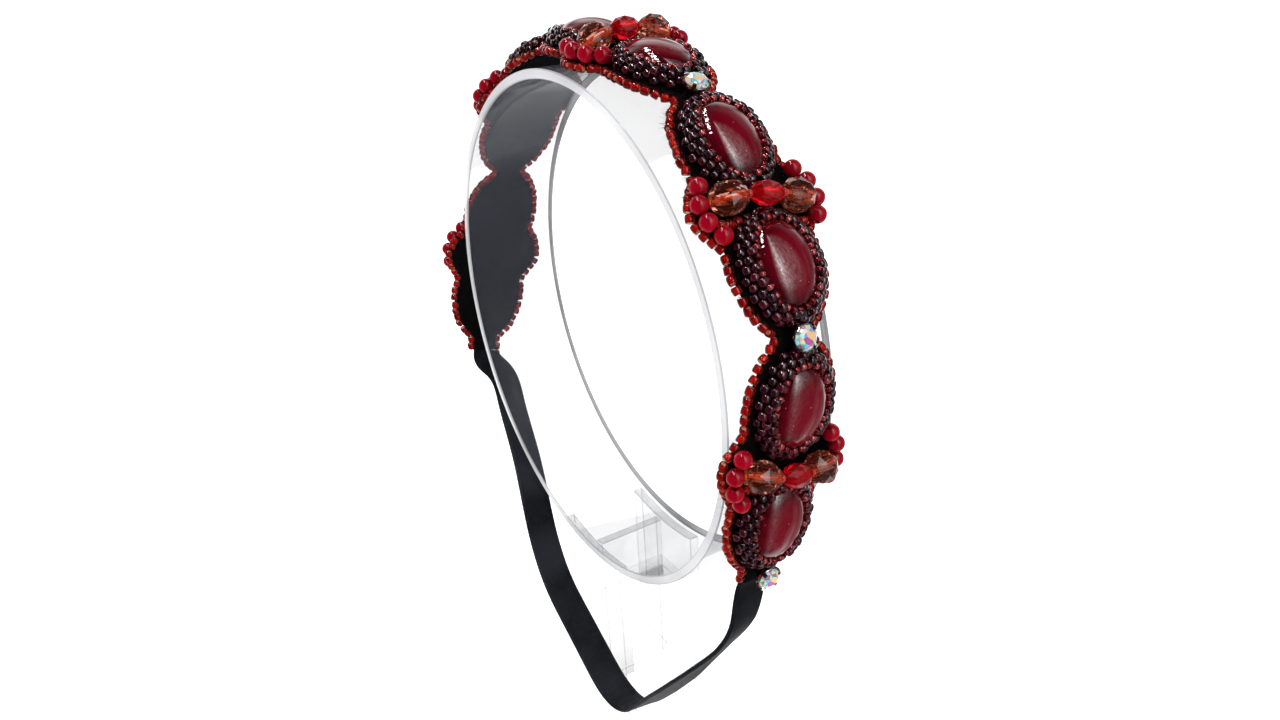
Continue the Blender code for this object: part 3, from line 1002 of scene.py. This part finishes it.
def dome_template(sides=96, rings=36):
    """Oval dome on an upright girdle, its base edge eased."""
    rise = CABOCHON_HEIGHT - CABOCHON_GIRDLE
    arc = [math.pi / 2 * k / rings for k in range(1, rings + 1)]
    profile = [(math.sin(turn), CABOCHON_GIRDLE + rise * math.cos(turn)) for turn in arc]
    profile += [(1.0, 0.7), (1.0, 0.2), (0.98, 0.0)]
    turn = math.tau * np.arange(sides) / sides
    oval = np.stack([np.cos(turn), np.sin(turn)], 1) * CABOCHON_HALF
    points = [np.array([[0, 0, CABOCHON_HEIGHT]])]
    for share, height in profile:
        points.append(np.column_stack([oval * share, np.full(sides, height)]))
    fan = [(0, 1 + k, 1 + (k + 1) % sides) for k in range(sides)]
    *walls, _, foot = [tuple(1 + i for i in face) for face in skin(len(profile), sides)]
    return np.concatenate(points), [*fan, *walls, foot]


def add_cabochons(glass):
    mesh = new_mesh("cabochon_dome", *dome_template())
    for number in range(2 * MODULES):
        label = f"{number + 1:02d}"
        seat = BAND.matrix(BAND.cabochon(number), SEAT)
        node = (f"cabochon_{label}",)
        add_piece(f"cabochon_glass_{label}", mesh, glass, node, seat)


def core_template(length, radius, count=16):
    """The lining of a bead's hole, slightly uneven like foil."""
    rings = [(-length / 2, radius * 0.3, 0)]
    for k in range(count + 1):
        swell = 1 + CORE_SWELL * math.sin(k * 2.4)
        rings.append((length * (k / count - 0.5), radius * swell * 0.94, 0))
    rings.append((length / 2, radius * 0.3, 0))
    return lathe(rings, 14)


def add_bar_beads(topaz, red, bore, spacer):
    def bead_and_core(name, length, radius):
        cut = new_mesh(f"{name}_cut", *cut_bead(length, radius, BORE_RADIUS), smooth=False)
        return cut, new_mesh(f"{name}_core", *core_template(length * 0.98, BORE_RADIUS))

    topaz_cut, topaz_core = bead_and_core("topaz", TOPAZ_LENGTH, TOPAZ_RADIUS)
    red_cut, red_core = bead_and_core("red", RED_LENGTH, RED_RADIUS)
    small = new_mesh("spacer", *seed_bead(*SPACER_BEAD, sides=24, steps=12))
    across = Matrix.Rotation(math.pi / 2, 4, "Z")
    for number in range(MODULES):
        label = number + 1
        bar = BAND.bar_matrix(number)
        seat = bar @ Matrix.Translation((0, 0, RED_HEIGHT * MM)) @ across
        add_piece(f"red_cut_{label}", red_cut, red, (f"red_bead_{label}",), seat)
        add_piece(f"red_core_{label}", red_core, spacer, (), seat)
        for word, side in SIDES:
            name = f"{label}_{word}"
            shift = Matrix.Translation((0, side * TOPAZ_SIDE * MM, TOPAZ_HEIGHT * MM))
            tilt = Matrix.Rotation(math.radians(-side * TOPAZ_TILT), 4, "X")
            seat = bar @ shift @ tilt @ across @ Matrix.Rotation(RNG.uniform(0, 0.78), 4, "X")
            node = (f"topaz_bead_{name}",)
            add_piece(f"topaz_cut_{name}", topaz_cut, topaz, node, seat)
            add_piece(f"topaz_core_{name}", topaz_core, bore, (), seat)
            beside = side * (RED_LENGTH / 2 + SPACER_SHIFT) * MM
            seat = bar @ Matrix.Translation((0, beside, (RED_HEIGHT - SPACER_DROP) * MM)) @ across
            add_piece(f"spacer_{name}", small, spacer, (), seat)


def add_coral(coral):
    bead = round_bead(CORAL_RADIUS, CORAL_HOLE)
    arc = np.array(CORAL_ARC)
    heights = np.full(len(arc), SEAT + CORAL_RADIUS)
    for number in range(MODULES):
        for word, side in SIDES:
            matrices = along_bar(number, np.column_stack([-side * arc, heights]), 0.08)
            name = f"{number + 1}_{word}"
            node = (f"coral_arc_{name}",)
            add_beads(f"coral_beads_{name}", bead, matrices, coral, node, 0.008)


def stone_template():
    """Round stone: table, star, kite and girdle facets."""
    bm = bmesh.new()
    for radius, height, count, twist in STONE_RINGS:
        for k in range(count):
            turn = math.tau * (k + twist) / count
            bm.verts.new((radius * math.cos(turn), radius * math.sin(turn), height))
    bmesh.ops.convex_hull(bm, input=bm.verts)
    bmesh.ops.dissolve_limit(bm, angle_limit=math.radians(1.0), verts=bm.verts, edges=bm.edges)
    bm.verts.index_update()
    points = np.array([v.co for v in bm.verts])
    faces = [tuple(v.index for v in face.verts) for face in bm.faces]
    bm.free()
    return points, faces


def facet_tones(points, faces):
    """Splits the facets apart so that each can have one tone."""
    out, split, tones = [], [], []
    for face in faces:
        start = len(out)
        out += [points[i] for i in face]
        split.append(tuple(range(start, len(out))))
        tones += [RNG.random()] * len(face)
    return np.array(out), split, tones


def claw_template():
    """Prong up the side of the cup and bent over the stone."""
    points = []
    for radius, height, width in CLAW_PATH:
        for u, v in CORNERS:
            points.append((radius + v * CLAW_WALL * 0.8, u * width, height + v * CLAW_WALL * 0.6))
    return np.array(points), skin(len(CLAW_PATH), 4)


def add_rhinestones(crystal, silver):
    """Cut stones, each in a tapered open cup with four claws."""
    stone = stone_template()
    cup, faces = lathe([(height, radius, 0) for height, radius in CUP_SECTION], CUP_SIDES)
    turns = np.array([Matrix.Rotation(math.tau * (k + 0.5) / 4, 4, "Z") for k in range(4)])
    claws, claw_faces = stamp(claw_template(), turns)
    faces += [tuple(i + len(cup) for i in face) for face in claw_faces]
    metal = new_mesh("claw_cup", np.concatenate([cup[:, [1, 2, 0]], claws]), faces)
    metal.set_sharp_from_angle(angle=math.radians(35))
    for number in range(MODULES + 1):
        label = number + 1
        points, faces, tones = facet_tones(*stone)
        mesh = bpy.data.meshes.new(f"stone_{label}")
        mesh.from_pydata((points * MM).tolist(), [], faces)
        set_tones(mesh, tones)
        seat = BAND.matrix(BAND.neck(number), SEAT)
        node = (f"rhinestone_{label}",)
        add_piece(f"rhinestone_setting_{label}", metal, silver, node, seat)
        add_piece(f"rhinestone_cut_{label}", mesh, crystal, (), seat)


def add_felt(felt):
    """The backing: two napped faces and a rounded edge, as one closed skin."""
    s = band_places(0.7)
    half = BAND.half_width(s, EDGING_WIDTH - FELT_UNDER_EDGING)
    shares = np.sin(np.linspace(-math.pi / 2, math.pi / 2, 25))
    rings = []
    for above, row in ((BACKING_WALL / 2, shares), (-BACKING_WALL / 2, shares[::-1])):
        for share in row:
            lift = above * math.sqrt(1 - (share * 0.9) ** 14)
            rough = RNG.normal(0, FELT_NAP, len(s))
            rings.append(BAND.place(s, share * half, lift + rough))
    points = np.stack(rings, 1).reshape(-1, 3)
    mesh = new_mesh("felt_backing", points, skin(len(s), len(rings)))
    piece = add_piece("felt_backing", mesh, felt, ("backing",))


def add_fuzz(felt):
    """Loose fibres standing off the felt's edges, in tufts."""
    roots, tips = [], []
    for _, side in SIDES:
        points, away, _ = edge_path(side, EDGING_WIDTH * 0.7)
        tufts = RNG.integers(0, len(points), FUZZ_TUFTS)
        at = RNG.choice(tufts, FUZZ_FIBRES) + RNG.integers(-7, 8, FUZZ_FIBRES)
        at = np.clip(at, 0, len(points) - 1)
        root = points[at] + RNG.normal(0, 0.3, (len(at), 3))
        reach = away[at] * RNG.uniform(*FUZZ_REACH, (len(at), 1))
        roots.append(root)
        tips.append(root + reach + RNG.normal(0, 0.6, (len(at), 3)))
    root, tip = np.concatenate(roots), np.concatenate(tips)
    wide = unit(np.cross(tip - root, RNG.normal(0, 1, root.shape))) * FUZZ_WIDTH
    deep = unit(np.cross(tip - root, wide)) * FUZZ_WIDTH
    corners = [root + wide, root - wide / 2 + deep, root - wide / 2 - deep, tip]
    faces = []
    for a in range(0, 4 * len(root), 4):
        faces += [(a, a + 1, a + 3), (a + 1, a + 2, a + 3), (a + 2, a, a + 3), (a + 2, a + 1, a)]
    mesh = new_mesh("felt_fuzz", np.stack(corners, 1).reshape(-1, 3), faces)
    add_piece("felt_fuzz", mesh, felt)


def strap_centres():
    """Points along the elastic, from the left tab round to the right tab."""
    start = BAND.first - END_TAB - STRAP_GAP
    end = BAND.last + END_TAB + STRAP_GAP
    along, across, outward = BAND.directions(start)
    left = BAND.at(start) + across * STRAP_SHIFT - outward * (BACKING_WALL - STRAP_WALL) / 2
    right = BAND.at(end)
    middle = [(x, y, RING_CENTRE_Z + z) for x, y, z, _ in STRAP_ROUTE]
    beyond = right + BAND.directions(end)[0] * STRAP_LEAD
    knots = np.array([left, left - along * STRAP_LEAD, *middle, beyond, right])
    travel = lengths_along(knots)
    sweep = np.linspace(0.0, travel[-1], STRAP_STEPS + 1)
    centres = np.stack([natural_spline(travel, axis)(sweep) for axis in knots.T], 1)
    rolls = np.interp(sweep, travel, [0.0, 0.0, *[row[3] for row in STRAP_ROUTE], 0.0, 0.0])
    return centres, rolls, sweep


def add_strap(ribbon):
    """Elastic ribbon with raised selvedges, its face lightly rippled."""
    centres, rolls, sweep = strap_centres()
    row = np.linspace(-1, 1, STRAP_SIDES)
    shares = np.concatenate([row, -row])
    top = np.repeat([1.0, -1.0], STRAP_SIDES)
    rim = np.sqrt(1 - shares ** 24)
    ridge = 0.8 + 0.2 * np.exp(-((np.abs(shares) - 0.86) / 0.07) ** 2)
    thick = STRAP_WALL / 2 * top * np.maximum(rim * ridge, 0.25)
    half = STRAP_WIDTH / 2
    points, uvs = [], []
    runs = np.gradient(centres, axis=0)
    for centre, run, roll, place in zip(centres, runs, np.radians(rolls), sweep):
        along = unit(run)
        flat = unit((0, 1, 0) - along * along[1])
        up = np.cross(flat, along)
        across = flat * math.cos(roll) - up * math.sin(roll)
        above = np.cross(across, along)
        ripple = 0.05 * math.sin(place * 1.7) * math.sin(place * 0.31)
        for share, height in zip(shares, thick):
            lift = height + ripple * (1 - share ** 2)
            points.append(centre + across * share * half + above * lift)
            uvs.append((place, share * half))
    mesh = new_mesh("strap_ribbon", points, skin(len(centres), len(shares)))
    layer = mesh.uv_layers.new(name="UVMap")
    corners = np.zeros(len(mesh.loops), np.int32)
    mesh.loops.foreach_get("vertex_index", corners)
    layer.data.foreach_set("uv", np.array(uvs, np.float32)[corners].ravel())
    mesh.set_sharp_from_angle(angle=math.radians(50))
    add_piece("strap_ribbon", mesh, ribbon, ("elastic_strap",))


# Pieces of the stand

def add_ring(acrylic):
    inner, half = RING_OUTER_R - RING_WALL, RING_WIDTH / 2
    corners = (
        # radius, place, way to the wall's middle, way to the ring's middle
        (inner, -half, 1, 1),
        (inner, half, 1, -1),
        (RING_OUTER_R, half, -1, -1),
        (RING_OUTER_R, -half, -1, 1),
    )
    rings = []
    for k, (radius, place, deep, along) in enumerate(corners):
        arc = np.radians(np.linspace(0, 90, 5))
        for turn in arc if k % 2 else arc[::-1]:
            x = place + along * RING_EDGE * (1 - math.sin(turn))
            rings.append((x, radius + deep * RING_EDGE * (1 - math.cos(turn)), 0))
    points, faces = lathe(rings, RING_STEPS)
    points = points[:, [1, 0, 2]] + (0, 0, RING_CENTRE_Z)
    mesh = new_mesh("stand_ring_clear", points, faces)
    mesh.set_sharp_from_angle(angle=math.radians(40))
    add_piece("stand_ring_clear", mesh, acrylic, ("stand_ring",))


def bevelled(name, outline, wall, at, acrylic, node, turned=False):
    """Upright plate from its outline, with eased edges, turned to face X."""
    bm = bmesh.new()
    layer = bm.faces.layers.float.new("edge")
    face = bm.faces.new([bm.verts.new((x, -wall / 2, z)) for x, z in outline])
    grown = bmesh.ops.extrude_face_region(bm, geom=[face])
    moved = [item for item in grown["geom"] if isinstance(item, bmesh.types.BMVert)]
    bmesh.ops.translate(bm, verts=moved, vec=(0, wall, 0))
    bmesh.ops.recalc_face_normals(bm, faces=bm.faces)
    sharp = [edge for edge in bm.edges if edge.calc_face_angle(0.0) > math.radians(30)]
    eased = bmesh.ops.bevel(
        bm, geom=sharp, offset=PLATE_EDGE, segments=3, profile=0.5, affect="EDGES"
    )
    # The eased faces are marked for the painted edge shade.
    for part in eased["faces"]:
        part[layer] = 1.0
    if turned:
        turn = Matrix.Rotation(math.pi / 2, 3, "Z")
        bmesh.ops.rotate(bm, verts=bm.verts, cent=(0, 0, 0), matrix=turn)
    bmesh.ops.translate(bm, verts=bm.verts, vec=at)
    bmesh.ops.scale(bm, verts=bm.verts, vec=(MM, MM, MM))
    mesh = bpy.data.meshes.new(name)
    bm.to_mesh(mesh)
    bm.free()
    mesh.shade_smooth()
    mesh.set_sharp_from_angle(angle=math.radians(40))
    add_piece(name, mesh, acrylic, (node,))


def add_pedestal(acrylic):
    reach = RING_OUTER_R + GAP
    foot = BASE_SIZE[2] + GAP
    across = np.linspace(PLATE_RIGHT, PLATE_LEFT, PLATE_TOP_STEPS + 1)
    top = RING_CENTRE_Z - np.sqrt(reach ** 2 - across ** 2)
    outline = [(PLATE_LEFT, foot), (PLATE_RIGHT, foot), *zip(across, top)]
    inset = RING_WIDTH / 2 - PLATE_INSET - PLATE_WALL / 2
    for word, side in SIDES:
        at = (0, side * inset, 0)
        bevelled(f"pedestal_{word}", outline, PLATE_WALL, at, acrylic, f"stand_plate_{word}")
    half = inset - PLATE_WALL / 2 - GAP
    top = RING_CENTRE_Z - reach
    outline = [(-half, foot), (half, foot), (half, top), (-half, top)]
    at = (CROSS_PLATE_X, 0, 0)
    bevelled("pedestal_cross", outline, PLATE_WALL, at, acrylic, "stand_cross_plate", turned=True)
    x, z = BASE_SIZE[0] / 2, BASE_SIZE[2]
    outline = [(-x, 0), (x, 0), (x, z), (-x, z)]
    bevelled("pedestal_base", outline, BASE_SIZE[1], (0, 0, 0), acrylic, "stand_base")


# Studio

def camera_forward():
    dip, yaw = CAMERA_DIP, CAMERA_YAW
    return Vector((-math.sin(yaw) * math.cos(dip), math.cos(yaw) * math.cos(dip), -math.sin(dip)))


def add_camera():
    yaw, roll = CAMERA_YAW, CAMERA_ROLL
    forward = camera_forward()
    level = Vector((math.cos(yaw), math.sin(yaw), 0))
    rise = level.cross(forward)
    right = level * math.cos(roll) + rise * math.sin(roll)
    up = rise * math.cos(roll) - level * math.sin(roll)
    data = bpy.data.cameras.new("camera")
    data.lens = FOCAL_PIXELS / FRAME_WIDTH * data.sensor_width
    data.clip_start = 0.001
    camera = new_object("camera", data)
    turn = Matrix((right, up, -forward)).transposed().to_4x4()
    camera.matrix_world = Matrix.Translation(Vector(CAMERA_PLACE) * MM) @ turn
    bpy.context.scene.camera = camera


def add_wall(name, place, size, radiance):
    """A soft box of that radiance, facing the stand and unseen in glass."""
    data = bpy.data.lights.new(name, "AREA")
    data.shape = "RECTANGLE"
    data.size, data.size_y = size
    data.energy = radiance * math.pi * size[0] * size[1]
    light = new_object(name, data)
    light.location = place
    aim = Vector((0, 0, RING_CENTRE_Z * MM)) - Vector(place)
    light.rotation_euler = aim.to_track_quat("-Z", "Y").to_euler()
    light.visible_camera = False
    light.visible_glossy = False


def add_tent():
    """World: white to the eye, a soft fill, and a light tent in reflections."""
    world = bpy.data.worlds.new("studio")
    world.use_nodes = True
    tent = Nodes(world.node_tree, "Generated")
    way = tent.coordinates()
    x, y, z = tent.axes(way)

    def shaped(grain, *stops):
        return tent.ramp(tent.noise(*grain, vector=way), *stops)

    calc, product = tent.math, tent.times

    # A tall window, streaked, to the right of the view
    degrees = product(calc("ARCTAN2", y, x), 180 / math.pi)
    share = calc("DIVIDE", calc("ADD", degrees, 180.0), 360.0)
    streaks = shaped((13.0, 4.0, 0.6), (0.36, 0.35), (0.62, 1.5))
    wall = product(tent.ramp(share, *TENT_WALL), streaks)
    low = tent.ramp(tent.scaled(z, 0.5, 0.5), *TENT_HEIGHTS)
    wall = product(product(wall, low), TENT_WALL_RADIANCE)

    # A column of short wavy strips overhead, in the camera's heading
    waves = calc("SUBTRACT", tent.noise(11.0, 2.0, vector=way), 0.5)
    waves = product(waves, STRIPS_WAVE)
    above = calc("MAXIMUM", z, 0.05)
    cosine, sine = math.cos(CAMERA_YAW), math.sin(CAMERA_YAW)
    side = calc("DIVIDE", tent.scaled(x, cosine, product(y, sine)), above)
    ahead = calc("DIVIDE", tent.scaled(y, cosine, product(x, -sine)), above)

    def reach(value, place, half):
        return calc("DIVIDE", calc("ABSOLUTE", calc("SUBTRACT", value, place)), half)

    across = reach(calc("ADD", side, waves), STRIPS_PLACE[0], STRIPS_HALF[0])
    along = reach(calc("SUBTRACT", ahead, waves), STRIPS_PLACE[1], STRIPS_HALF[1])
    column = calc("LESS_THAN", calc("MAXIMUM", across, along), 1.0)
    turns = tent.scaled(waves, 2.0, ahead)
    rungs = calc("SINE", product(turns, math.pi * STRIPS_COUNT / STRIPS_HALF[1]))
    strips = product(column, calc("GREATER_THAN", rungs, 0.3))
    strips = product(product(strips, calc("GREATER_THAN", z, 0.1)), STRIPS_RADIANCE)
    strips = product(strips, shaped((28.0, 2.0), (0.47, 0.0), (0.53, 1.0)))

    # Large soft panels, brightest on the far side of the object
    toward = tent.add("VectorMath", i0=way, i1=-camera_forward())
    toward.operation = "DOT_PRODUCT"
    facing = tent.scaled(toward.outputs["Value"], 0.5, 0.5)
    patches = shaped((2.2, 1.0), (0.42, 0.25), (0.56, 1.25))
    panels = product(tent.ramp(facing, *TENT_AMBIENT), patches)

    total = calc("ADD", calc("ADD", wall, strips), panels)
    path = tent.add("LightPath").outputs
    light = FILL
    for ray, seen in (("Glossy", total), ("Transmission", THROUGH_GLASS), ("Camera", 1.0)):
        light = tent.add("Mix", i0=path[f"Is {ray} Ray"], i2=light, i3=seen).outputs[0]
    tent.feed(tent.tree.nodes["Background"], "Color", light)
    bpy.context.scene.world = world


def add_studio():
    mesh = bpy.data.meshes.new("floor")
    corners = [(x * FLOOR_REACH, y * FLOOR_REACH, 0) for x, y in CORNERS]
    mesh.from_pydata(corners, [], [(0, 1, 2, 3)])
    mesh.materials.append(floor_look().material)
    floor = new_object("floor", mesh)
    floor.location.z = -FLOOR_DROP
    floor.visible_glossy = False
    floor.visible_transmission = False

    sun = bpy.data.lights.new("ceiling", "SUN")
    sun.energy = CEILING_ENERGY
    sun.angle = math.radians(CEILING_SPREAD)
    ceiling = new_object("ceiling", sun)
    ceiling.visible_glossy = False
    ceiling.rotation_euler = Vector(CEILING_AIM).to_track_quat("-Z", "Y").to_euler()

    for wall in WALLS:
        add_wall(*wall)
    add_tent()
    bpy.context.scene.view_settings.view_transform = "Standard"


def main():
    add_camera()
    add_studio()
    add_ring(ring_look())
    add_pedestal(acrylic_look())
    felt = felt_look()
    add_felt(felt)
    add_fuzz(felt)
    orange, lining = orange_glass_look(), lining_look()
    add_edging(orange, lining)
    add_bar_seeds(orange, lining)
    add_bezels(garnet_look(), rose_look())
    add_cabochons(cabochon_look())
    add_bar_beads(topaz_look(), red_glass_look(), bore_look(), spacer_look())
    add_coral(coral_look())
    add_rhinestones(stone_look(), silver_look())
    add_strap(ribbon_look())


main()
